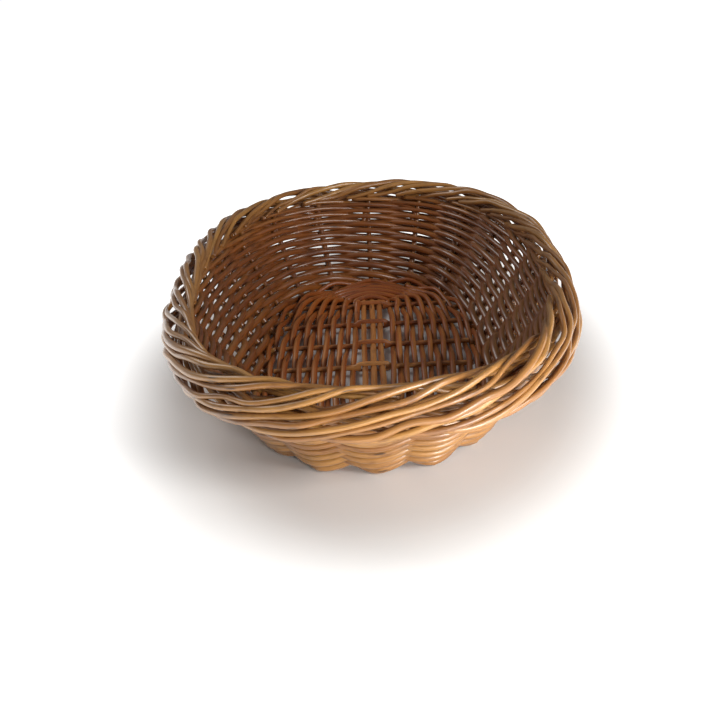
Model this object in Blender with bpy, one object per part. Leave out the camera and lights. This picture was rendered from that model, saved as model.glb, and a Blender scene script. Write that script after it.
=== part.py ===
"""An oval willow basket, open at the top, woven by hand from round rods.

The base is a slath: split short sticks threaded on three long sticks, filled in by two
chasing weavers. Side stakes are bent up from the base, the wall is French randed with one
weaver to each stake, and the stakes' own upper ends turn down and wrap the rim as the border.
Metres, +Z up, +Y along the basket's length, the origin on the ground under its middle.
"""

import math
from functools import lru_cache

import bmesh
import bpy
import numpy as np
from mathutils import Vector

for old in list(bpy.data.objects):
    bpy.data.objects.remove(old, do_unlink=True)

# Driving sizes of the whole basket, over the rods.
WIDTH = 0.240
LENGTH = 0.340
HEIGHT = 0.072
BASE_WIDTH = 0.140
BASE_LENGTH = 0.244
RIM_POWER = 2.4
BASE_POWER = 2.6
WALL_BOW = 0.25

# Rods, by thickness.
STAKE_THICK = 0.0038
STAKE_TIP_THICK = 0.0032
STICK_THICK = 0.0038
BASE_WEAVER_THICK = 0.0023
WEAVER_FILL = 0.88
CLEARANCE = 0.0003

# The frame of the base.
LONG_STICKS = 3
LONG_STICK_SPACING = 0.0054
SHORT_STICKS = 6
SHORT_STICK_SPACING = 0.031
SHORT_STICK_THICK = 0.0050
FOOT_LENGTH = 0.0066
STICK_PROUD = 0.0008
EYE_SLOPE = 0.0026
INMOST_ROUND = 0.0046
INMOST_END_GAP = 0.0026
INMOST_POWER = 8
CORNER_GAP = math.radians(25)
BASE_ROUND_PITCH = 0.0053

# The wall: one weaver to each stake, rising one layer at each stake it passes.
STAKES = 22
FIRST_LAYER_PITCH = 0.0037
LAST_LAYER_PITCH = 0.0024
WEAVE_START = 0.0046
WEAVE_HEADROOM = 0.0066

# The border: how far in from the outermost line and how far down from the highest line a
# stake's upper end lies, at each step of its way to the right, in spaces between stakes.
BORDER_STEP = 0.4
BORDER_PATH = (
    (0.0100, 0.0100),
    (0.0084, 0.0118),
    (0.0068, 0.0160),
    (0.0047, 0.0213),
    (0.0022, 0.0226),
    (0.0003, 0.0200),
    (0.0000, 0.0162),
    (0.0000, 0.0130),
    (0.0003, 0.0099),
    (0.0012, 0.0067),
    (0.0032, 0.0032),
    (0.0068, 0.0002),
    (0.0108, 0.0000),
)

BASE_LIFT = (STICK_THICK + BASE_WEAVER_THICK) / 2 + CLEARANCE
BASE_MIDDLE = BASE_LIFT + BASE_WEAVER_THICK / 2 * math.cos(math.radians(45))
RIM_INSET = STAKE_THICK / 2
BORDER_TOP = HEIGHT - STAKE_THICK / 2
WALL_TOP = BORDER_TOP - BORDER_PATH[0][1]
WALL_INSET = RIM_INSET + BORDER_PATH[0][0]


def willow(name, colour, roughness):
    material = bpy.data.materials.new(name)
    material.use_nodes = True
    shader = material.node_tree.nodes["Principled BSDF"]
    shader.inputs["Base Color"].default_value = (*colour, 1)
    shader.inputs["Roughness"].default_value = roughness
    shader.inputs["Metallic"].default_value = 0
    return material


BASE_WILLOW = willow("base_willow", (0.20, 0.085, 0.030), 0.55)
STICK_WILLOW = willow("stick_willow", (0.16, 0.062, 0.022), 0.55)
STAKE_WILLOW = willow("stake_willow", (0.33, 0.150, 0.050), 0.40)
WEAVER_WILLOW = willow("weaver_willow", (0.27, 0.115, 0.038), 0.45)


@lru_cache(maxsize=None)
def oval_outline(half_width, half_length, power):
    """Points of an oval, from the back round by the left, and each one's share of the way."""
    turn = np.linspace(0, 2 * math.pi, 1441) + math.pi / 2
    across, along = np.cos(turn), np.sin(turn)
    x = half_width * np.sign(across) * np.abs(across) ** (2 / power)
    y = half_length * np.sign(along) * np.abs(along) ** (2 / power)
    way = np.concatenate(([0], np.cumsum(np.hypot(np.diff(x), np.diff(y)))))
    return x, y, way / way[-1]


def on_oval(half_width, half_length, power, share):
    x, y, way = oval_outline(half_width, half_length, power)
    return Vector((np.interp(share % 1, way, x), np.interp(share % 1, way, y), 0))


def out_of_oval(half_width, half_length, power, share):
    """The level direction pointing straight out of an oval."""
    before = on_oval(half_width, half_length, power, share - 0.003)
    after = on_oval(half_width, half_length, power, share + 0.003)
    along = after - before
    return Vector((along.y, -along.x, 0)).normalized()


def wall_point(share, rise, out=0.0):
    """A point of the wall: share of the way round, rise from 0 at the foot to 1, and out of it."""
    spread = rise + WALL_BOW * rise * (1 - rise)
    rim_half_width = WIDTH / 2 - WALL_INSET
    rim_half_length = LENGTH / 2 - WALL_INSET
    half_width = BASE_WIDTH / 2 + spread * (rim_half_width - BASE_WIDTH / 2)
    half_length = BASE_LENGTH / 2 + spread * (rim_half_length - BASE_LENGTH / 2)
    power = BASE_POWER + rise * (RIM_POWER - BASE_POWER)
    oval = (round(half_width, 7), round(half_length, 7), round(power, 5))
    level = out_of_oval(*oval, share)
    growth = (1 + WALL_BOW * (1 - 2 * rise)) * (rim_half_width - BASE_WIDTH / 2)
    height = WALL_TOP - BASE_MIDDLE
    normal = (level * height - Vector((0, 0, growth))).normalized()
    point = on_oval(*oval, share) + Vector((0, 0, BASE_MIDDLE + rise * height))
    return point + out * normal


def wall_length(share):
    """The way up the wall, along its bow, at one share of the way round."""
    steps = [wall_point(share, step / 20) for step in range(21)]
    return sum((b - a).length for a, b in zip(steps, steps[1:]))


def rim_point(share, inward, down):
    oval = (WIDTH / 2 - RIM_INSET, LENGTH / 2 - RIM_INSET, RIM_POWER)
    level = out_of_oval(*oval, share)
    return on_oval(*oval, share) - inward * level + Vector((0, 0, BORDER_TOP - down))


def rod(name, points, thicknesses, material, square=False, closed=False):
    """A rod along a chain of points, thick or thin as each says: six sides, or four with one down."""
    curve = bpy.data.curves.new(name, "CURVE")
    curve.dimensions = "3D"
    curve.bevel_depth = 0.5
    curve.bevel_resolution = 0 if square else 1
    curve.twist_mode = "Z_UP"
    curve.use_fill_caps = True
    spline = curve.splines.new("POLY")
    spline.points.add(len(points) - 1)
    spline.use_cyclic_u = closed
    for spot, point, thick in zip(spline.points, points, thicknesses):
        spot.co = (*point, 1)
        spot.radius = thick
        spot.tilt = math.radians(45) if square else 0
    curve.materials.append(material)
    made = bpy.data.objects.new(name, curve)
    bpy.context.scene.collection.objects.link(made)
    return made


def base_oval(inset):
    return (BASE_WIDTH / 2 - inset, BASE_LENGTH / 2 - inset, BASE_POWER)


def woven_reach():
    """Half the width and half the length that the two base weavers fill."""
    inset = FOOT_LENGTH + BASE_WEAVER_THICK / 2 + CLEARANCE
    return BASE_WIDTH / 2 - inset, BASE_LENGTH / 2 - inset


def long_sticks():
    """Three sticks side by side along the base, which carry everything else."""
    reach = woven_reach()[1] + STICK_PROUD
    for number in range(LONG_STICKS):
        x = (number - (LONG_STICKS - 1) / 2) * LONG_STICK_SPACING
        ends = (Vector((x, -reach, BASE_MIDDLE)), Vector((x, reach, BASE_MIDDLE)))
        rod(f"long_stick_{number + 1}", ends, (STICK_THICK, STICK_THICK), STICK_WILLOW)


def stick_ring(mesh, x, y, half_width, half_height):
    corners = []
    for side in range(6):
        turn = math.radians(60 * side + 30)
        across = half_width * math.cos(turn) / math.cos(math.radians(30))
        up = half_height * math.sin(turn)
        corners.append(mesh.verts.new((x, y + across, BASE_MIDDLE + up)))
    return corners


def bridge(mesh, rings):
    for one, other in zip(rings, rings[1:]):
        count = len(one)
        for side in range(count):
            after = (side + 1) % count
            mesh.faces.new((one[side], one[after], other[after], other[side]))


def short_stick(number):
    """A stick split through its middle, so that the long sticks run through it."""
    y = (number - (SHORT_STICKS - 1) / 2) * SHORT_STICK_SPACING
    eye = (LONG_STICKS - 1) / 2 * LONG_STICK_SPACING + STICK_THICK / 2 + CLEARANCE
    slit = STICK_THICK / 2 + CLEARANCE
    half = SHORT_STICK_THICK / 2
    swollen = slit + half * 0.55
    half_width, half_length = woven_reach()
    share = 1 - abs(y / half_length) ** BASE_POWER
    end = half_width * share ** (1 / BASE_POWER) + STICK_PROUD
    plain = STICK_THICK / 2
    mesh = bmesh.new()
    outline = ((end, plain), (eye + EYE_SLOPE, plain), (eye + 0.0006, swollen))
    stations = [(-x, high) for x, high in outline] + [(x, high) for x, high in reversed(outline)]
    rings = [stick_ring(mesh, x, y, half * 0.8, high) for x, high in stations]
    bridge(mesh, rings)
    mesh.faces.new(rings[0])
    mesh.faces.new(rings[-1])
    bmesh.ops.recalc_face_normals(mesh, faces=mesh.faces)
    data = bpy.data.meshes.new(f"short_stick_{number + 1}")
    mesh.to_mesh(data)
    mesh.free()
    data.materials.append(STICK_WILLOW)
    stick = bpy.data.objects.new(data.name, data)
    bpy.context.scene.collection.objects.link(stick)

    cutter = bmesh.new()
    bmesh.ops.create_cube(cutter, size=1)
    bmesh.ops.scale(cutter, vec=(2 * eye, 4 * half, 2 * slit), verts=cutter.verts)
    bmesh.ops.translate(cutter, vec=(0, y, BASE_MIDDLE), verts=cutter.verts)
    hole = bpy.data.meshes.new(f"slit_{number + 1}")
    cutter.to_mesh(hole)
    cutter.free()
    guide = bpy.data.objects.new(hole.name, hole)
    guide.hide_render = True
    guide.display_type = "WIRE"
    bpy.context.scene.collection.objects.link(guide)
    split = stick.modifiers.new("split", "BOOLEAN")
    split.operation = "DIFFERENCE"
    split.solver = "EXACT"
    split.object = guide


def base_round(progress):
    """One round of the base weave, from 0 for the inmost to 1 for the outmost."""
    bunch = LONG_STICK_SPACING * (LONG_STICKS - 1) / 2 + STICK_THICK / 2
    outer_stick = (SHORT_STICKS - 1) / 2 * SHORT_STICK_SPACING
    first_width = bunch + INMOST_ROUND
    first_length = outer_stick + SHORT_STICK_THICK / 2 + BASE_WEAVER_THICK + INMOST_END_GAP
    last_width, last_length = woven_reach()
    half_width = first_width + progress * (last_width - first_width)
    half_length = first_length + progress * (last_length - first_length)
    power = BASE_POWER + (1 - progress) ** 2 * (INMOST_POWER - BASE_POWER)
    return half_width, half_length, power


def base_rounds():
    """How many rounds each weaver makes: they lie closest beyond the outermost short sticks."""
    return int((base_round(1)[1] - base_round(0)[1]) / BASE_ROUND_PITCH) + 0.5


def base_stops():
    """The sticks in the order that a round meets them: the bunch's two ends and the short ones."""
    places = [(row - (SHORT_STICKS - 1) / 2) * SHORT_STICK_SPACING for row in range(SHORT_STICKS)]
    left = [("left", y) for y in reversed(places)]
    right = [("right", y) for y in places]
    return [("back", 0)] + left + [("front", 0)] + right


def crossing_angles(stop, half_width, half_length, power):
    """Where a round comes onto a stick and goes off it, as the oval's own angle."""
    kind, place = stop
    half = STICK_THICK / 2
    if kind in ("back", "front"):
        bunch = LONG_STICK_SPACING * (LONG_STICKS - 1) / 2 + half
        lean = math.acos((bunch / half_width) ** (power / 2))
        return (lean, math.pi - lean) if kind == "back" else (math.pi + lean, 2 * math.pi - lean)
    rises = [
        math.copysign(math.asin((abs(y) / half_length) ** (power / 2)), y)
        for y in (place - half, place + half)
    ]
    if kind == "left":
        return math.pi - rises[1], math.pi - rises[0]
    return 2 * math.pi + rises[0], 2 * math.pi + rises[1]


def base_point(angle, height, half_width, half_length, power):
    across, along = math.cos(angle), math.sin(angle)
    x = math.copysign(half_width * abs(across) ** (2 / power), across)
    y = math.copysign(half_length * abs(along) ** (2 / power), along)
    return Vector((x, y, height))


def base_weaver(number):
    """One of two weavers that chase each other round the sticks, over one and under the next.

    One starts at the back and the other at the front, half the stops later.
    """
    stops = base_stops()
    stops = stops[number * len(stops) // 2:] + stops[:number * len(stops) // 2]
    steps = int(base_rounds() * len(stops))
    points = []
    for step in range(steps):
        oval = base_round(step / steps)
        side = 1 if step % 2 else -1
        on, off = crossing_angles(stops[step % len(stops)], *oval)
        following = crossing_angles(stops[(step + 1) % len(stops)], *oval)[0]
        points += [base_point(turn, BASE_MIDDLE + side * BASE_LIFT, *oval) for turn in (on, off)]
        gap = (following - off) % (2 * math.pi)
        if gap > CORNER_GAP:
            for share in (1 / 3, 2 / 3):
                height = BASE_MIDDLE + side * BASE_LIFT * (1 - 2 * share)
                points.append(base_point(off + share * gap, height, *oval))
    thick = [BASE_WEAVER_THICK] * len(points)
    rod(f"base_weaver_{number + 1}", points, thick, BASE_WILLOW, square=True)


def foot_round(name, inset, parity):
    """A closed round at the base's edge that passes over one stake's foot and under the next."""
    points = []
    for step in range(STAKES):
        high = BASE_LIFT if (step + parity) % 2 else -BASE_LIFT
        for share, height in ((step, BASE_MIDDLE + high), (step + 0.5, BASE_MIDDLE)):
            points.append(on_oval(*base_oval(inset), share / STAKES) + Vector((0, 0, height)))
    thick = [BASE_WEAVER_THICK] * len(points)
    rod(name, points, thick, BASE_WILLOW, square=True, closed=True)


def stake(number):
    """A side stake: foot in the base, wall, and its upper end wrapped round the rim."""
    share = number / STAKES
    lift = Vector((0, 0, BASE_MIDDLE))
    points = [on_oval(*base_oval(FOOT_LENGTH), share) + lift]
    points += [wall_point(share, rise) for rise in (0, 0.33, 0.66)]
    thick = [STAKE_THICK] * len(points)
    for step, (inward, down) in enumerate(BORDER_PATH):
        travel = step * BORDER_STEP
        points.append(rim_point((number + travel) / STAKES, inward, down))
        done = step / (len(BORDER_PATH) - 1)
        thick.append(STAKE_THICK + done * (STAKE_TIP_THICK - STAKE_THICK))
    rod(f"stake_{number + 1:02d}", points, thick, STAKE_WILLOW)


def weaver(number, full_length, layers):
    """One weaver of the wall: out before one stake, in behind the next, a layer up each time."""
    points = []
    thick = []
    for layer in range(layers + 1):
        pitch = FIRST_LAYER_PITCH + layer / layers * (LAST_LAYER_PITCH - FIRST_LAYER_PITCH)
        run = WEAVE_START + layer * (FIRST_LAYER_PITCH + pitch) / 2
        width = WEAVER_FILL * pitch
        away = (STAKE_THICK + width) / 2 + 2 * CLEARANCE
        side = away if layer % 2 else -away
        points.append(wall_point((number + layer) / STAKES, run / full_length, side))
        thick.append(width)
    rod(f"weaver_{number + 1:02d}", points, thick, WEAVER_WILLOW, square=True)


long_sticks()
for count in range(SHORT_STICKS):
    short_stick(count)
for count in range(2):
    base_weaver(count)
foot_round("foot_round_inner", 0.0052, 0)
foot_round("foot_round_outer", 0.0022, 1)
for count in range(STAKES):
    stake(count)
shortest_wall = min(wall_length(count / STAKES) for count in range(STAKES))
weave_height = shortest_wall - WEAVE_START - WEAVE_HEADROOM
layers_that_fit = int(weave_height / ((FIRST_LAYER_PITCH + LAST_LAYER_PITCH) / 2))
for count in range(STAKES):
    weaver(count, shortest_wall, layers_that_fit)
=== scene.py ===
"""The finished look of an oval willow basket, piece by piece as a basket maker puts it together.

Metres, +Z up, +Y along the basket's length, the origin on the ground under its middle.
"""

import math
import random
from bisect import bisect
from functools import lru_cache

import bmesh
import bpy
from mathutils import Matrix, Vector, noise


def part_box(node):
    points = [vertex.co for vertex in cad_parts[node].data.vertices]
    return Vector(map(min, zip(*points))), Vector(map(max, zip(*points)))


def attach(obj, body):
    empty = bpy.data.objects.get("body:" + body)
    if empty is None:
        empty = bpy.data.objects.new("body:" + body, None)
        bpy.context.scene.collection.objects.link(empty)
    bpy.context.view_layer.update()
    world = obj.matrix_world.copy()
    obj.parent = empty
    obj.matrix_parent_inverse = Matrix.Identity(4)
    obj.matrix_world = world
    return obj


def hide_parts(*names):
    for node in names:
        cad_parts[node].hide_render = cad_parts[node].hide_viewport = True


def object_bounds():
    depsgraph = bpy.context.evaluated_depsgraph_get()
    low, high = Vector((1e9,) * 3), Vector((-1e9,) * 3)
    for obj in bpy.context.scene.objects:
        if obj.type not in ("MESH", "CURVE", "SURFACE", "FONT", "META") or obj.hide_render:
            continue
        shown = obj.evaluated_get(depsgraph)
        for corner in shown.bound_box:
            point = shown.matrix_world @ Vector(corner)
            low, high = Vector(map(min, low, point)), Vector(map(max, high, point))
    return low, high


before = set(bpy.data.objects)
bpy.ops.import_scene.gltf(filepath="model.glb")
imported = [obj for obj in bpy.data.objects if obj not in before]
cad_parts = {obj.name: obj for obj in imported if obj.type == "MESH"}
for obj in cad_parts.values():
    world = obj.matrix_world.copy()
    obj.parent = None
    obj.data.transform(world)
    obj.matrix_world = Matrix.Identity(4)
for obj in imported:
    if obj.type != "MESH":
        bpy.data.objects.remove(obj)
cad_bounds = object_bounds()


# The willow itself: rods cut green, boiled brown in their bark, then varnished when woven.
# Each piece carries a UV map in metres along the rod and turns round it, its own tone, and its share of
# painted shade where it faces the inside of the basket.
ROD_SIDES = 12
GRAIN_ROUND = 0.002
# Painted shade: the six numbers below darken and redden the willow that faces the inside of the basket,
# fading out just under the rim.
INSIDE_SHADE_DEPTH = 0.85
INSIDE_SHADE_TINT = (0.56, 0.30, 0.12, 1)
INSIDE_SHADE_START = 0.5
INSIDE_SHADE_GAIN = 1.4
INSIDE_SHADE_TOP = 0.066
INSIDE_SHADE_FADE = 0.012
KNOT_BROWN = (0.030, 0.012, 0.006, 1)
VARNISH_ROUGHNESS = 0.27
FIBRE_DEPTH = 0.0002
SAME_PLACE = 0.000001


def add_node(tree, kind, values=(), **settings):
    made = tree.nodes.new(kind)
    for name, value in settings.items():
        setattr(made, name, value)
    for socket, value in dict(values).items():
        made.inputs[socket].default_value = value
    return made


def reckon(tree, operation, first, second=None, clamp=False):
    """One sum on one or two values, each a number or a socket."""
    made = tree.nodes.new("ShaderNodeMath")
    made.operation = operation
    made.use_clamp = clamp
    for socket, value in zip(made.inputs, (first, second)):
        if isinstance(value, (int, float)):
            socket.default_value = value
        elif value is not None:
            tree.links.new(value, socket)
    return made.outputs[0]


def blend_colours(tree, share, first, second, how="MIX"):
    made = tree.nodes.new("ShaderNodeMix")
    made.data_type = "RGBA"
    made.blend_type = how
    for socket, value in ((made.inputs[0], share), (made.inputs[6], first), (made.inputs[7], second)):
        if isinstance(value, (int, float, tuple)):
            socket.default_value = value
        else:
            tree.links.new(value, socket)
    return made.outputs[2]


def stretched_noise(tree, point, along, around, detail, roughness=0.5):
    """Noise drawn out along the rod: how many times it changes in a metre, along and around."""
    scaled = add_node(tree, "ShaderNodeVectorMath", {1: (along, around, around)}, operation="MULTIPLY")
    tree.links.new(point, scaled.inputs[0])
    made = add_node(
        tree, "ShaderNodeTexNoise", {"Scale": 1.0, "Detail": detail, "Roughness": roughness}
    )
    tree.links.new(scaled.outputs[0], made.inputs["Vector"])
    return made.outputs["Fac"]


def spread(tree, value, low, high, start=0.0, end=1.0):
    """Stretches low..high of a value over start..end."""
    made = add_node(
        tree,
        "ShaderNodeMapRange",
        {"From Min": low, "From Max": high, "To Min": start, "To Max": end},
        interpolation_type="SMOOTHSTEP",
    )
    tree.links.new(value, made.inputs["Value"])
    return made.outputs["Result"]


def bark_group():
    """Willow skin: tones that drift along a rod, fibres, blotches of varnish and small knots, then painted
    shade on the side facing the inside of the basket.
    """
    tree = bpy.data.node_groups.new("willow_bark", "ShaderNodeTree")
    for name in ("Pale", "Ripe", "Deep"):
        tree.interface.new_socket(name=name, in_out="INPUT", socket_type="NodeSocketColor")
    tree.interface.new_socket(name="Gloss", in_out="INPUT", socket_type="NodeSocketFloat")
    tree.interface.new_socket(name="Colour", in_out="OUTPUT", socket_type="NodeSocketColor")
    for name in ("Roughness", "Height"):
        tree.interface.new_socket(name=name, in_out="OUTPUT", socket_type="NodeSocketFloat")
    given = tree.nodes.new("NodeGroupInput")
    result = tree.nodes.new("NodeGroupOutput")

    skin = add_node(tree, "ShaderNodeUVMap", uv_map="UVMap")
    parts = tree.nodes.new("ShaderNodeSeparateXYZ")
    tree.links.new(skin.outputs[0], parts.inputs[0])
    turn = reckon(tree, "MULTIPLY", parts.outputs[1], 2 * math.pi)
    point = tree.nodes.new("ShaderNodeCombineXYZ")
    tree.links.new(parts.outputs[0], point.inputs[0])
    for socket, wave in ((1, "COSINE"), (2, "SINE")):
        value = reckon(tree, "MULTIPLY", reckon(tree, wave, turn), GRAIN_ROUND)
        tree.links.new(value, point.inputs[socket])
    tone = add_node(tree, "ShaderNodeAttribute", attribute_name="tone").outputs["Fac"]
    inside_shade = add_node(tree, "ShaderNodeAttribute", attribute_name="inside_shade").outputs["Fac"]

    drift = spread(tree, stretched_noise(tree, point.outputs[0], 14, 60, 2), 0.3, 0.7)
    ripeness = reckon(tree, "ADD", reckon(tree, "MULTIPLY", drift, 0.45), reckon(tree, "MULTIPLY", tone, 0.7))
    colour = blend_colours(tree, ripeness, given.outputs["Pale"], given.outputs["Ripe"])

    blotch = spread(tree, stretched_noise(tree, point.outputs[0], 90, 260, 3), 0.52, 0.72)
    colour = blend_colours(tree, reckon(tree, "MULTIPLY", blotch, 0.45), colour, given.outputs["Deep"])

    fibre = stretched_noise(tree, point.outputs[0], 70, 1500, 4, 0.65)
    dark_fibre = spread(tree, fibre, 0.47, 0.66)
    colour = blend_colours(tree, reckon(tree, "MULTIPLY", dark_fibre, 0.34), colour, given.outputs["Deep"])
    pale_fibre = spread(tree, fibre, 0.46, 0.30)
    colour = blend_colours(tree, reckon(tree, "MULTIPLY", pale_fibre, 0.22), colour, given.outputs["Pale"])

    scaled = add_node(tree, "ShaderNodeVectorMath", {1: (34, 230, 230)}, operation="MULTIPLY")
    tree.links.new(point.outputs[0], scaled.inputs[0])
    buds = add_node(tree, "ShaderNodeTexVoronoi", {"Scale": 1.0, "Randomness": 1.0}, feature="F1")
    tree.links.new(scaled.outputs[0], buds.inputs["Vector"])
    knot = spread(tree, buds.outputs["Distance"], 0.15, 0.07)
    colour = blend_colours(tree, reckon(tree, "MULTIPLY", knot, 0.75), colour, KNOT_BROWN)

    # Painted shade: willow facing the inside of the basket is multiplied towards a dark reddish brown.
    inside_shading = reckon(tree, "MULTIPLY", inside_shade, INSIDE_SHADE_DEPTH)
    colour = blend_colours(tree, inside_shading, colour, INSIDE_SHADE_TINT, "MULTIPLY")

    rough = reckon(tree, "ADD", given.outputs["Gloss"], reckon(tree, "MULTIPLY", blotch, 0.16))
    rough = reckon(tree, "ADD", rough, reckon(tree, "MULTIPLY", dark_fibre, 0.08), clamp=True)
    height = reckon(tree, "ADD", reckon(tree, "MULTIPLY", fibre, 0.8), reckon(tree, "MULTIPLY", knot, 0.6))
    tree.links.new(colour, result.inputs["Colour"])
    tree.links.new(rough, result.inputs["Roughness"])
    tree.links.new(height, result.inputs["Height"])
    return tree


BARK = bark_group()


def willow(name, pale, ripe, deep, gloss, coat, relief):
    """One kind of rod: its colours from pale to deep, its roughness and its coat of varnish."""
    material = bpy.data.materials.new(name)
    material.use_nodes = True
    tree = material.node_tree
    shader = tree.nodes["Principled BSDF"]
    bark = add_node(tree, "ShaderNodeGroup", node_tree=BARK)
    for socket, colour in (("Pale", pale), ("Ripe", ripe), ("Deep", deep)):
        bark.inputs[socket].default_value = (*colour, 1)
    bark.inputs["Gloss"].default_value = gloss
    bump = add_node(tree, "ShaderNodeBump", {"Strength": relief, "Distance": FIBRE_DEPTH})
    tree.links.new(bark.outputs["Height"], bump.inputs["Height"])
    tree.links.new(bark.outputs["Colour"], shader.inputs["Base Color"])
    tree.links.new(bark.outputs["Roughness"], shader.inputs["Roughness"])
    tree.links.new(bump.outputs["Normal"], shader.inputs["Normal"])
    shader.inputs["Coat Weight"].default_value = coat
    shader.inputs["Coat Roughness"].default_value = VARNISH_ROUGHNESS
    shader.inputs["Specular IOR Level"].default_value = 0.5
    return material


def cut_willow():
    """The pale wood that shows where the knife cut a rod off."""
    material = bpy.data.materials.new("cut_willow")
    material.use_nodes = True
    tree = material.node_tree
    shader = tree.nodes["Principled BSDF"]
    place = tree.nodes.new("ShaderNodeTexCoord")
    specks = add_node(tree, "ShaderNodeTexNoise", {"Scale": 1400.0, "Detail": 3.0})
    tree.links.new(place.outputs["Object"], specks.inputs["Vector"])
    colour = blend_colours(tree, specks.outputs["Fac"], (0.30, 0.15, 0.055, 1), (0.62, 0.38, 0.17, 1))
    tree.links.new(colour, shader.inputs["Base Color"])
    shader.inputs["Roughness"].default_value = 0.6
    return material


CUT_WILLOW = cut_willow()


def smooth_through(points, steps, closed=False):
    """Points of one smooth curve through a chain of points, so many steps to each stretch."""
    count = len(points)
    stretches = count if closed else count - 1
    found = []
    for index in range(stretches):
        if closed:
            four = [points[(index + shift) % count] for shift in (-1, 0, 1, 2)]
        else:
            four = [points[min(max(index + shift, 0), count - 1)] for shift in (-1, 0, 1, 2)]
        for step in range(steps):
            t = step / steps
            weights = (
                (-t + 2 * t * t - t ** 3) / 2,
                (2 - 5 * t * t + 3 * t ** 3) / 2,
                (t + 4 * t * t - 3 * t ** 3) / 2,
                (t ** 3 - t * t) / 2,
            )
            found.append(sum((four[k] * weights[k] for k in range(4)), four[0] * 0))
    if not closed:
        found.append(points[-1].copy() if isinstance(points[-1], Vector) else points[-1])
    return found


def painted_inside_shade(vertex):
    """Painted shade: 1 where the willow faces the inside of the basket below the rim, fading to 0 towards the
    outside and the rim.
    """
    outward = Vector((vertex.co.x, vertex.co.y * 0.5, 0)).normalized()
    towards = INSIDE_SHADE_START - vertex.normal.dot(outward) * INSIDE_SHADE_GAIN
    below_rim = (INSIDE_SHADE_TOP - vertex.co.z) / INSIDE_SHADE_FADE
    return min(max(towards, 0), 1) * min(max(below_rim, 0), 1)


def finish_piece(name, mesh, material, tone, nodes=()):
    """Puts a finished mesh in the scene as one piece of the basket."""
    mesh.name = name
    mesh.materials.clear()
    mesh.materials.append(material)
    mesh.materials.append(CUT_WILLOW)
    own_tone = mesh.attributes.new("tone", "FLOAT", "POINT")
    own_tone.data.foreach_set("value", [tone] * len(mesh.vertices))
    # Painted shade: each point's share of the dark inside tint, from the way it faces and its height.
    inside_shade = mesh.attributes.new("inside_shade", "FLOAT", "POINT")
    inside_shade.data.foreach_set("value", [painted_inside_shade(vertex) for vertex in mesh.vertices])
    piece = bpy.data.objects.new(name, mesh)
    bpy.context.scene.collection.objects.link(piece)
    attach(piece, "root")
    if nodes:
        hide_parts(*nodes)
    return piece


def rod(name, points, thicknesses, closed=False, start=0.0):
    """The mesh of a round rod along a chain of points, with its ends cut square."""
    curve = bpy.data.curves.new(name, "CURVE")
    curve.dimensions = "3D"
    curve.bevel_depth = 0.5
    curve.bevel_resolution = (ROD_SIDES - 4) // 2
    curve.use_fill_caps = False
    spline = curve.splines.new("POLY")
    spline.points.add(len(points) - 1)
    spline.use_cyclic_u = closed
    for spot, point, thick in zip(spline.points, points, thicknesses):
        spot.co = (*point, 1)
        spot.radius = thick
    guide = bpy.data.objects.new(name, curve)
    mesh = bpy.data.meshes.new_from_object(guide)
    bpy.data.objects.remove(guide)
    length = sum((b - a).length for a, b in zip(points, points[1:]))
    work = bmesh.new()
    work.from_mesh(mesh)
    skin = work.loops.layers.uv.verify()
    for face in work.faces:
        face.smooth = True
        for corner in face.loops:
            corner[skin].uv.x = start + corner[skin].uv.x * length
    bmesh.ops.remove_doubles(work, verts=work.verts, dist=SAME_PLACE)
    open_edges = [edge for edge in work.edges if edge.is_boundary]
    if open_edges:
        for face in bmesh.ops.holes_fill(work, edges=open_edges)["faces"]:
            face.material_index = 1
            face.smooth = False
    bmesh.ops.recalc_face_normals(work, faces=work.faces)
    work.to_mesh(mesh)
    work.free()
    return mesh


def waver(seed, along, size):
    """A small smooth wander of a hand-laid rod, the same each time for the same seed."""
    return size * noise.noise(Vector((along, seed * 7.31, 3.7)))


# The base's sticks: three long ones side by side, threaded through six short ones that are
# split with a bodkin, so that each short stick's two halves pass over and under the bunch.
STICK_WILLOW = willow(
    "stick_willow", (0.64, 0.30, 0.09), (0.38, 0.138, 0.033), (0.12, 0.036, 0.010),
    gloss=0.42, coat=0.25, relief=0.5,
)
LONG_STICKS = 3
LONG_STICK_STEPS = 40
SHORT_STICKS = 6
STICK_SIDES = 16
STICK_SWELL = 0.55
UPPER_SWELL = 1.42
EYE_ROOM = 0.0004
SLIT_ROOM = 0.0002
picks = random.Random(31)

for number in range(LONG_STICKS):
    node = f"long_stick_{number + 1}"
    low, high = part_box(node)
    middle = (low + high) / 2
    thick = high.x - low.x
    points = []
    thicknesses = []
    for step in range(LONG_STICK_STEPS + 1):
        along = step / LONG_STICK_STEPS
        point = Vector((middle.x, low.y + along * (high.y - low.y), middle.z))
        point.x += waver(number, along * 4, 0.0010)
        points.append(point)
        thicknesses.append(thick * (0.98 + waver(number + 9, along * 6, 0.10)))
    mesh = rod(f"long_stick_{number + 1}_round", points, thicknesses, start=number)
    finish_piece(f"long_rod_{number + 1}", mesh, STICK_WILLOW, picks.random(), [node])

bunch_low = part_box("long_stick_1")[0]
bunch_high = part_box(f"long_stick_{LONG_STICKS}")[1]
STICK_LEVEL = (bunch_low.z + bunch_high.z) / 2
STICK_THICK = bunch_high.z - bunch_low.z


def wrap_grain(mesh, centre, seed):
    """A UV map for a piece that lies along X: metres along it, and turns round its middle line."""
    layer = mesh.uv_layers.new(name="UVMap")
    for face in mesh.polygons:
        turns = []
        for index in face.vertices:
            place = mesh.vertices[index].co - centre
            turns.append(math.atan2(place.z, place.y) / (2 * math.pi))
        for loop, index, turn in zip(face.loop_indices, face.vertices, turns):
            if turns[0] - turn > 0.5:
                turn += 1
            if turn - turns[0] > 0.5:
                turn -= 1
            layer.data[loop].uv = (mesh.vertices[index].co.x + seed, turn)


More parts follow.
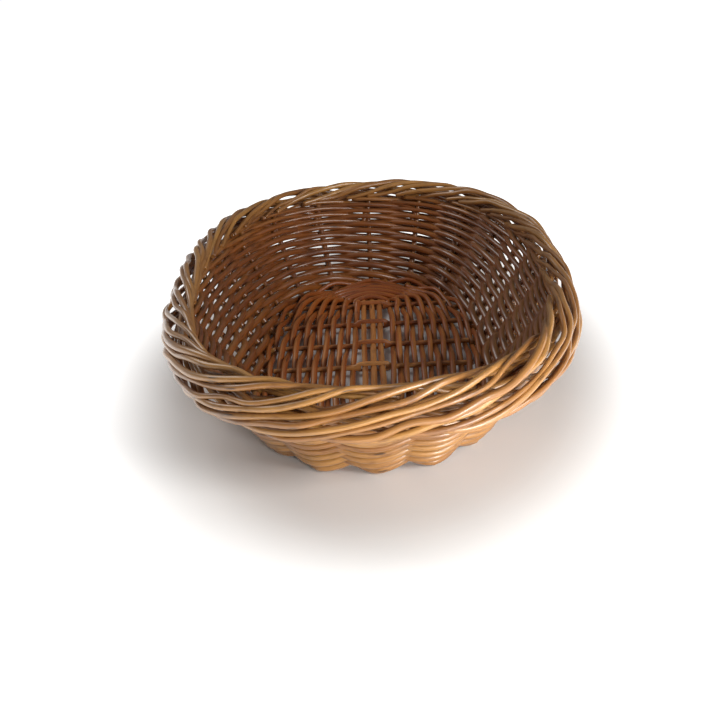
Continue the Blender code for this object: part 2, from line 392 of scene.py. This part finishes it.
def stick_stations(end, eye, swollen):
    """Places along a short stick, each with its half height: thicker where the eye is."""
    plain = STICK_THICK / 2
    half = (
        (end, plain * 0.96), (end * 0.8, plain), (end * 0.6, plain * 0.98), (end * 0.4, plain),
        (eye + 0.0075, plain * 1.02), (eye + 0.0040, plain * 1.12), (eye + 0.0012, swollen * 0.94),
        (eye - 0.0020, swollen), (0.0, swollen * 1.02),
    )
    return [(-x, tall) for x, tall in half] + [(x, tall) for x, tall in reversed(half[:-1])]


def whole_stick(name, middle, stations, eye, half_width, seed):
    """A stick before it is split: a ring drawn out along X from station to station."""
    work = bmesh.new()
    turned = Matrix.Rotation(math.radians(90), 4, "Y")
    ring = bmesh.ops.create_circle(
        work, cap_ends=False, segments=STICK_SIDES, radius=1.0, matrix=turned
    )["verts"]
    edges = list(work.edges)
    rings = [list(ring)]
    for _ in stations[1:]:
        fresh = bmesh.ops.extrude_edge_only(work, edges=edges)["geom"]
        edges = [item for item in fresh if isinstance(item, bmesh.types.BMEdge)]
        edges = [edge for edge in edges if all(corner in fresh for corner in edge.verts)]
        rings.append([item for item in fresh if isinstance(item, bmesh.types.BMVert)])
    for (x, tall), verts in zip(stations, rings):
        wide = half_width * (0.86 + waver(seed, x * 60, 0.10))
        bend = waver(seed + 5, x * 30, 0.0012)
        if abs(x) < eye + 0.002:
            for vert in verts:
                vert.co.z *= UPPER_SWELL if vert.co.z > 0 else 1
        sized = Matrix.Diagonal((1, wide, tall, 1))
        placed = Matrix.Translation(middle + Vector((x, bend, 0)))
        bmesh.ops.transform(work, verts=verts, matrix=placed @ sized)
    bmesh.ops.holes_fill(work, edges=[edge for edge in work.edges if edge.is_boundary])
    bmesh.ops.recalc_face_normals(work, faces=work.faces)
    mesh = bpy.data.meshes.new(name)
    work.to_mesh(mesh)
    work.free()
    return mesh


def slit_through(mesh, middle, size):
    """The same mesh with a box of that size cut out of its middle."""
    cutter = bmesh.new()
    bmesh.ops.create_cube(cutter, size=1)
    bmesh.ops.scale(cutter, vec=size, verts=cutter.verts)
    bmesh.ops.translate(cutter, vec=middle, verts=cutter.verts)
    hole = bpy.data.meshes.new(mesh.name + "_slit")
    cutter.to_mesh(hole)
    cutter.free()
    stick = bpy.data.objects.new(mesh.name + "_whole", mesh)
    guide = bpy.data.objects.new(hole.name, hole)
    bpy.context.scene.collection.objects.link(stick)
    bpy.context.scene.collection.objects.link(guide)
    split = stick.modifiers.new("split", "BOOLEAN")
    split.operation = "DIFFERENCE"
    split.object = guide
    bpy.context.view_layer.update()
    graph = bpy.context.evaluated_depsgraph_get()
    done = bpy.data.meshes.new_from_object(stick.evaluated_get(graph))
    bpy.data.objects.remove(stick)
    bpy.data.objects.remove(guide)
    return done


def short_stick(node, seed):
    """A stick with an eye: thicker over the bunch, and slit level so that the bunch goes through."""
    low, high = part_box(node)
    middle = Vector(((low.x + high.x) / 2, (low.y + high.y) / 2, STICK_LEVEL))
    half_width = (high.y - low.y) / 2
    eye = (bunch_high.x - bunch_low.x) / 2 + EYE_ROOM
    slit = STICK_THICK / 2 + SLIT_ROOM
    stations = stick_stations((high.x - low.x) / 2, eye, slit + half_width * STICK_SWELL)
    whole = whole_stick(node, middle, stations, eye, half_width, seed)
    done = slit_through(whole, middle, (2 * eye, 6 * half_width, 2 * slit))
    for layer in list(done.uv_layers):
        done.uv_layers.remove(layer)
    wrap_grain(done, middle, seed)
    for face in done.polygons:
        face.material_index = 1 if abs(face.normal.x) > 0.98 and abs(face.center.x) > eye * 1.5 else 0
    done.shade_smooth()
    done.set_sharp_from_angle(angle=math.radians(50))
    return done


for number in range(SHORT_STICKS):
    node = f"short_stick_{number + 1}"
    mesh = short_stick(node, number + 20)
    finish_piece(f"split_stick_{number + 1}", mesh, STICK_WILLOW, picks.random(), [node])


# The base's weave: two fine weavers chase each other round the sticks, over one and under the
# next, from the bunch out to the edge, where two closed rounds lock the stakes' feet.
BASE_WILLOW = willow(
    "base_willow", (0.59, 0.240, 0.058), (0.40, 0.140, 0.030), (0.12, 0.034, 0.007),
    gloss=0.42, coat=0.25, relief=0.5,
)
BASE_ROD = 0.0037
BASE_LIFT = 0.0033
BASE_DROP = 0.0025
BASE_ROUNDS = 5.5
BASE_POWER = 2.6
INMOST_POWER = 8
INMOST_ROUND = 0.0028
INMOST_END = 0.0068
CORNER_GAP = math.radians(25)
SHORT_STICK_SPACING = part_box("short_stick_2")[0].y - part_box("short_stick_1")[0].y
BASE_HALF_WIDTH = 0.070
BASE_HALF_LENGTH = 0.122
FOOT_LENGTH = 0.0066
WOVEN_INSET = FOOT_LENGTH + 0.0015
STEPS_BETWEEN = 7
OVAL_STEPS = 1440
LOOK_ASIDE = 0.003


@lru_cache(maxsize=None)
def oval_outline(half_width, half_length, power):
    """Points of an oval, from the back round by the left, and each one's share of the way."""
    points = []
    way = [0.0]
    for step in range(OVAL_STEPS + 1):
        turn = 2 * math.pi * step / OVAL_STEPS + math.pi / 2
        across, along = math.cos(turn), math.sin(turn)
        x = math.copysign(half_width * abs(across) ** (2 / power), across)
        y = math.copysign(half_length * abs(along) ** (2 / power), along)
        points.append(Vector((x, y, 0)))
        if step:
            way.append(way[-1] + (points[-1] - points[-2]).length)
    return points, [done / way[-1] for done in way]


def on_oval(half_width, half_length, power, share):
    """The point of an oval that is a share of the way round it."""
    points, way = oval_outline(half_width, half_length, power)
    after = min(max(bisect(way, share % 1), 1), len(way) - 1)
    part = (share % 1 - way[after - 1]) / (way[after] - way[after - 1])
    return points[after - 1].lerp(points[after], part)


def out_of_oval(half_width, half_length, power, share):
    """The level direction pointing straight out of an oval."""
    before = on_oval(half_width, half_length, power, share - LOOK_ASIDE)
    along = on_oval(half_width, half_length, power, share + LOOK_ASIDE) - before
    return Vector((along.y, -along.x, 0)).normalized()


def base_round(progress):
    """One round of the base weave, from 0 for the inmost to 1 for the outmost."""
    bunch = bunch_high.x
    first_length = (SHORT_STICKS - 1) / 2 * SHORT_STICK_SPACING + INMOST_END
    half_width = bunch + INMOST_ROUND
    half_width += progress * (BASE_HALF_WIDTH - WOVEN_INSET - half_width)
    half_length = first_length + progress * (BASE_HALF_LENGTH - WOVEN_INSET - first_length)
    power = BASE_POWER + (1 - progress) ** 2 * (INMOST_POWER - BASE_POWER)
    return half_width, half_length, power


def base_stops():
    """The sticks in the order that a round meets them: the bunch's two ends and the short ones."""
    places = [(row - (SHORT_STICKS - 1) / 2) * SHORT_STICK_SPACING for row in range(SHORT_STICKS)]
    left = [("left", y) for y in reversed(places)]
    right = [("right", y) for y in places]
    return [("back", 0)] + left + [("front", 0)] + right


def crossing_angles(stop, half_width, half_length, power):
    """Where a round comes onto a stick and goes off it, as the oval's own angle."""
    kind, place = stop
    half = STICK_THICK / 2
    if kind in ("back", "front"):
        lean = math.acos((bunch_high.x / half_width) ** (power / 2))
        return (lean, math.pi - lean) if kind == "back" else (math.pi + lean, 2 * math.pi - lean)
    rises = [
        math.copysign(math.asin((abs(y) / half_length) ** (power / 2)), y)
        for y in (place - half, place + half)
    ]
    if kind == "left":
        return math.pi - rises[1], math.pi - rises[0]
    return 2 * math.pi + rises[0], 2 * math.pi + rises[1]


def base_point(angle, height, half_width, half_length, power):
    """A point of a round at the oval's own angle, at a height."""
    across, along = math.cos(angle), math.sin(angle)
    x = math.copysign(half_width * abs(across) ** (2 / power), across)
    y = math.copysign(half_length * abs(along) ** (2 / power), along)
    return Vector((x, y, height))


def base_weaver(number):
    """One of the two weavers: the first starts at the back and the second at the front."""
    stops = base_stops()
    stops = stops[number * len(stops) // 2:] + stops[:number * len(stops) // 2]
    steps = int(BASE_ROUNDS * len(stops))
    points = []
    for step in range(steps):
        oval = base_round(step / steps)
        lift = BASE_LIFT if step % 2 else -BASE_DROP
        on, off = crossing_angles(stops[step % len(stops)], *oval)
        following = crossing_angles(stops[(step + 1) % len(stops)], *oval)[0]
        middle = base_point((on + off) / 2, STICK_LEVEL + lift, *oval)
        middle.x += waver(number + 50, step * 1.7, 0.0016)
        ends = [base_point(turn, STICK_LEVEL + lift * 0.93, *oval) for turn in (on, off)]
        points += [ends[0], middle, ends[1]] if off - on > CORNER_GAP else [middle]
        gap = (following - off) % (2 * math.pi)
        if gap > CORNER_GAP:
            for share in (1 / 3, 2 / 3):
                height = STICK_LEVEL + lift * (1 - 2 * share)
                points.append(base_point(off + share * gap, height, *oval))
    points = smooth_through(points, STEPS_BETWEEN)
    thick = [
        BASE_ROD * (1 + waver(number + 60, index / 30, 0.16)) for index in range(len(points))
    ]
    return rod(f"chasing_weaver_{number + 1}_rod", points, thick, start=number * 3)


for number in range(2):
    mesh = base_weaver(number)
    finish_piece(
        f"chasing_weaver_{number + 1}", mesh, BASE_WILLOW, 0.3 + 0.4 * number,
        [f"base_weaver_{number + 1}"],
    )

STAKES = 22
FOOT_ROUND_THICK = BASE_ROD * 0.92
for name, inset, side in (("inner", 0.0052, -1), ("outer", 0.0022, 1)):
    points = []
    for step in range(2 * STAKES):
        swing = math.cos(math.pi * step / 2) * side
        swing *= BASE_DROP if swing > 0 else BASE_LIFT
        oval = (BASE_HALF_WIDTH - inset, BASE_HALF_LENGTH - inset, BASE_POWER)
        points.append(on_oval(*oval, step / 2 / STAKES) + Vector((0, 0, STICK_LEVEL - swing)))
    points = smooth_through(points, STEPS_BETWEEN, closed=True)
    thick = [FOOT_ROUND_THICK] * len(points)
    mesh = rod(f"foot_ring_{name}_rod", points, thick, closed=True)
    finish_piece(f"foot_ring_{name}", mesh, BASE_WILLOW, 0.5, [f"foot_round_{name}"])


# The side stakes: stout rods turned up at the base's edge, one through the wall for every
# weaver. Their upper ends go behind one stake, down outside, along and up over the rim, so
# that they wrap it. A second rod, mostly thinner, stands beside each one and takes the same way.
STAKE_WILLOW = willow(
    "stake_willow", (0.50, 0.250, 0.062), (0.31, 0.128, 0.030), (0.09, 0.027, 0.008),
    gloss=0.42, coat=0.9, relief=0.6,
)
STAKE_THICK = 0.0038
BORDER_THICK = 0.0042
TIP_THICK = 0.0030
SECOND_THICK = 0.0038
SECOND_LAG = 0.42
SECOND_BESIDE = 0.10
BORDER_STEP = 0.4
STAKE_STEPS = 6
LAG_SPREAD = (-0.14, 0.10)
LAY_INWARD = (-0.0014, 0.0008)
LAY_DOWN = (-0.0010, 0.0014)
HIGHEST_LAY = -0.0004
ELBOWS = (6, 7)
ELBOW_BULGE = 0.0024
STAKE_FULLNESS = (0.85, 1.16)
SECOND_FULLNESS = (0.80, 1.20)
BORDER_PATH = (
    (0.0100, 0.0100), (0.0084, 0.0118), (0.0068, 0.0160), (0.0047, 0.0213), (0.0022, 0.0226),
    (0.0003, 0.0200), (0.0000, 0.0162), (0.0000, 0.0130), (0.0003, 0.0099), (0.0012, 0.0067),
    (0.0032, 0.0032), (0.0068, 0.0002), (0.0108, 0.0000), (0.0130, 0.0024), (0.0139, 0.0056),
    (0.0141, 0.0086),
)
RIM_POWER = 2.4
WALL_BOW = 0.25
RIM_HALF_WIDTH = (cad_bounds[1].x - cad_bounds[0].x) / 2 - STAKE_THICK / 2
RIM_HALF_LENGTH = (cad_bounds[1].y - cad_bounds[0].y) / 2 - STAKE_THICK / 2
BORDER_TOP = cad_bounds[1].z - STAKE_THICK / 2
WALL_TOP = BORDER_TOP - BORDER_PATH[0][1]


def wall_point(share, rise, out=0.0):
    """A point of the wall: share of the way round, rise from 0 at the foot to 1, and out of it."""
    spread_out = rise + WALL_BOW * rise * (1 - rise)
    rim_half_width = RIM_HALF_WIDTH - BORDER_PATH[0][0]
    rim_half_length = RIM_HALF_LENGTH - BORDER_PATH[0][0]
    half_width = BASE_HALF_WIDTH + spread_out * (rim_half_width - BASE_HALF_WIDTH)
    half_length = BASE_HALF_LENGTH + spread_out * (rim_half_length - BASE_HALF_LENGTH)
    power = BASE_POWER + rise * (RIM_POWER - BASE_POWER)
    oval = (round(half_width, 4), round(half_length, 4), round(power, 2))
    level = out_of_oval(*oval, share)
    growth = (1 + WALL_BOW * (1 - 2 * rise)) * (rim_half_width - BASE_HALF_WIDTH)
    height = WALL_TOP - STICK_LEVEL
    normal = (level * height - Vector((0, 0, growth))).normalized()
    return on_oval(*oval, share) + Vector((0, 0, STICK_LEVEL + rise * height)) + out * normal


def rim_point(share, inward, down):
    """A point of the border: share of the way round, and how far inward and down from its edge."""
    oval = (RIM_HALF_WIDTH, RIM_HALF_LENGTH, RIM_POWER)
    level = out_of_oval(*oval, share)
    return on_oval(*oval, share) - inward * level + Vector((0, 0, BORDER_TOP - down))


def border_way(number, lag, chance):
    """The points of a rod's upper end round the rim, a little differently laid each time."""
    points = []
    bulge = chance.uniform(0, ELBOW_BULGE)
    for step, (inward, down) in enumerate(BORDER_PATH):
        elbow = bulge if step in ELBOWS else 0
        inward += chance.uniform(*LAY_INWARD) - elbow
        down += chance.uniform(*LAY_DOWN)
        share = (number + lag + step * BORDER_STEP) / STAKES
        points.append(rim_point(share, inward, max(down, HIGHEST_LAY)))
    return points


def tapered(count, first, last, seed):
    """A rod's thickness at each of its points, from butt to tip."""
    return [
        first + (last - first) * index / count + waver(seed, index / 14, 0.0006)
        for index in range(count)
    ]


chance = random.Random(12)
for number in range(STAKES):
    share = number / STAKES
    foot_oval = (BASE_HALF_WIDTH - FOOT_LENGTH, BASE_HALF_LENGTH - FOOT_LENGTH, BASE_POWER)
    points = [on_oval(*foot_oval, share) + Vector((0, 0, STICK_LEVEL))]
    points += [wall_point(share, rise) for rise in (0, 0.15, 0.33, 0.5, 0.66, 0.83)]
    points += border_way(number, 0, chance)
    points = smooth_through(points, STAKE_STEPS)
    fullness = chance.uniform(*STAKE_FULLNESS)
    thick = tapered(len(points), BORDER_THICK * fullness, TIP_THICK * fullness, number)
    mesh = rod(f"stake_{number + 1:02d}_rod", points, thick, start=number * 5)
    finish_piece(
        f"side_stake_{number + 1:02d}", mesh, STAKE_WILLOW, chance.random(),
        [f"stake_{number + 1:02d}"],
    )

    beside = (number + SECOND_BESIDE) / STAKES
    points = [wall_point(beside, rise) for rise in (0.7, 0.85)]
    lag = SECOND_LAG + chance.uniform(*LAG_SPREAD)
    points += border_way(number, lag, chance)[1:]
    points = smooth_through(points, STAKE_STEPS)
    fullness = chance.uniform(*SECOND_FULLNESS)
    thick = tapered(len(points), SECOND_THICK * fullness, TIP_THICK * fullness, number + 40)
    mesh = rod(f"second_stake_{number + 1:02d}_rod", points, thick, start=number * 5 + 2)
    finish_piece(
        f"second_stake_{number + 1:02d}", mesh, STAKE_WILLOW, chance.random()
    )


# The wall's weave, French randed: one weaver to each stake, its butt inside the stake where it
# starts. Each goes out before one stake and in behind the next, and rises a layer every time.
WEAVER_WILLOW = willow(
    "weaver_willow", (0.50, 0.245, 0.062), (0.32, 0.130, 0.031), (0.09, 0.028, 0.008),
    gloss=0.42, coat=0.8, relief=0.6,
)
LAYERS = 20
FIRST_LAYER_PITCH = 0.0037
LAST_LAYER_PITCH = 0.00226
WEAVE_START = 0.0046
WEAVER_FILL = 1.31
WEAVER_SQUEEZE = 0.9
WEAVER_FULLNESS = (0.95, 1.06)
LAYER_SHIFT = 0.0004
STEPS_TO_A_STAKE = 10
BUTT = 1.45
BUTT_LEAN = 0.0035
TIP_STEPS = 4
WALL_STEPS = 20


def wall_length():
    """The length of the wall's slope at the back, from foot to border."""
    steps = [wall_point(0, step / WALL_STEPS) for step in range(WALL_STEPS + 1)]
    return sum((b - a).length for a, b in zip(steps, steps[1:]))


WALL_LENGTH = wall_length()


def weaver(number, chance):
    """One weaver, thinner towards its tip, out before one stake and in behind the next."""
    points = []
    thick = []
    lay = [chance.uniform(-LAYER_SHIFT, LAYER_SHIFT) for _ in range(LAYERS + 3)]
    fullness = chance.uniform(*WEAVER_FULLNESS)
    first = -round(BUTT * STEPS_TO_A_STAKE)
    for step in range(first, LAYERS * STEPS_TO_A_STAKE + TIP_STEPS):
        layer = step / STEPS_TO_A_STAKE
        pitch = FIRST_LAYER_PITCH + layer / LAYERS * (LAST_LAYER_PITCH - FIRST_LAYER_PITCH)
        width = WEAVER_FILL * pitch * fullness
        away = WEAVER_SQUEEZE * (STAKE_THICK + width) / 2
        below = max(int(layer), 0)
        between = layer - below
        easing = between * between * (3 - 2 * between)
        run = WEAVE_START + layer * (FIRST_LAYER_PITCH + pitch) / 2
        run += lay[below] + (lay[below + 1] - lay[below]) * easing if layer > 0 else lay[0] / 2
        side = -away * math.cos(math.pi * layer)
        if layer < -1:
            side -= BUTT_LEAN * (-1 - layer) / (BUTT - 1)
        points.append(wall_point((number + layer) / STAKES, run / WALL_LENGTH, side))
        thick.append(width * (1 + waver(number + 80, layer * 0.8, 0.12)))
    return rod(f"weaver_{number + 1:02d}_rod", points, thick, start=number * 4)


chance = random.Random(19)
for number in range(STAKES):
    mesh = weaver(number, chance)
    finish_piece(
        f"wall_weaver_{number + 1:02d}", mesh, WEAVER_WILLOW, chance.random(),
        [f"weaver_{number + 1:02d}"],
    )


# The setting: a plain pale floor that glows white away from the basket as painted light standing in for a lit
# white table, a soft light at the front right, a small one low in front, and one behind on the left that
# opens up the right-hand wall.
FLOOR_HALF = 12
FLOOR_LEVEL = -0.0005
GLOW_SQUEEZE = 0.7
GLOW_FROM = 0.11
GLOW_TO = 0.19
GLOW = 0.9
LIGHT_AIM = Vector((0, 0, 0.03))


def soft_light(name, azimuth, elevation, distance, size, power, colour):
    """An area light that faces the basket, azimuth 0 in front of it and 90 at its right."""
    turn, lift = math.radians(azimuth), math.radians(elevation)
    way = Vector((math.sin(turn) * math.cos(lift), -math.cos(turn) * math.cos(lift), math.sin(lift)))
    lamp = bpy.data.lights.new(name, "AREA")
    lamp.shape = "DISK"
    lamp.size = size
    lamp.energy = power
    lamp.color = colour
    made = bpy.data.objects.new(name, lamp)
    made.location = LIGHT_AIM + distance * way
    made.rotation_euler = way.to_track_quat("Z", "Y").to_euler()
    bpy.context.scene.collection.objects.link(made)


sheet = bmesh.new()
bmesh.ops.create_grid(sheet, x_segments=1, y_segments=1, size=FLOOR_HALF)
bmesh.ops.translate(sheet, vec=(0, 0, FLOOR_LEVEL), verts=sheet.verts)
floor_mesh = bpy.data.meshes.new("floor")
sheet.to_mesh(floor_mesh)
sheet.free()
floor_paint = bpy.data.materials.new("floor_paint")
floor_paint.use_nodes = True
paint = floor_paint.node_tree
floor_shader = paint.nodes["Principled BSDF"]
floor_shader.inputs["Base Color"].default_value = (0.9, 0.9, 0.9, 1)
floor_shader.inputs["Roughness"].default_value = 0.9
floor_shader.inputs["Emission Color"].default_value = (1, 1, 1, 1)
# Painted light: the floor glows white away from the basket and does not glow close round it.
place = paint.nodes.new("ShaderNodeTexCoord")
squeezed = add_node(paint, "ShaderNodeVectorMath", {1: (1, GLOW_SQUEEZE, 0)}, operation="MULTIPLY")
reach = add_node(paint, "ShaderNodeVectorMath", operation="LENGTH")
paint.links.new(place.outputs["Object"], squeezed.inputs[0])
paint.links.new(squeezed.outputs[0], reach.inputs[0])
glow = spread(paint, reach.outputs["Value"], GLOW_FROM, GLOW_TO, 0.0, GLOW)
paint.links.new(glow, floor_shader.inputs["Emission Strength"])
floor_mesh.materials.append(floor_paint)
floor = bpy.data.objects.new("floor", floor_mesh)
bpy.context.scene.collection.objects.link(floor)

soft_light(
    "front_light", azimuth=46, elevation=28, distance=0.95, size=0.32, power=4.9,
    colour=(1.0, 0.98, 0.95),
)
soft_light(
    "low_light", azimuth=27, elevation=5, distance=0.55, size=0.12, power=1.7,
    colour=(1.0, 0.99, 0.96),
)
soft_light(
    "side_light", azimuth=-120, elevation=44, distance=0.95, size=0.5, power=2.7,
    colour=(1.0, 0.99, 0.97),
)
WORLD_STRENGTH = 0.13
world = bpy.data.worlds.new("studio")
world.use_nodes = True
world.node_tree.nodes["Background"].inputs["Color"].default_value = (1, 1, 1, 1)
world.node_tree.nodes["Background"].inputs["Strength"].default_value = WORLD_STRENGTH
bpy.context.scene.world = world
bpy.context.scene.view_settings.view_transform = "Standard"

VIEW_TARGET = Vector((-0.0082, -0.0152, 0.0094))
VIEW_DISTANCE = 0.5776
VIEW_ELEVATION = math.radians(27.46)
VIEW_TURN = math.radians(1.53)
VIEW_ROLL = math.radians(-3.39)
VIEW_LENS = 46.3
back = Vector((
    math.sin(VIEW_TURN) * math.cos(VIEW_ELEVATION),
    -math.cos(VIEW_TURN) * math.cos(VIEW_ELEVATION),
    math.sin(VIEW_ELEVATION),
))
right = Vector((0, 0, 1)).cross(back).normalized()
up = back.cross(right)
rolled_right = right * math.cos(VIEW_ROLL) + up * math.sin(VIEW_ROLL)
rolled_up = up * math.cos(VIEW_ROLL) - right * math.sin(VIEW_ROLL)
lens = bpy.data.cameras.new("camera")
lens.lens = VIEW_LENS
lens.clip_start = 0.01
camera = bpy.data.objects.new("camera", lens)
turned = Matrix((rolled_right, rolled_up, back)).transposed().to_4x4()
camera.matrix_world = Matrix.Translation(VIEW_TARGET + VIEW_DISTANCE * back) @ turned
bpy.context.scene.collection.objects.link(camera)
bpy.context.scene.camera = camera

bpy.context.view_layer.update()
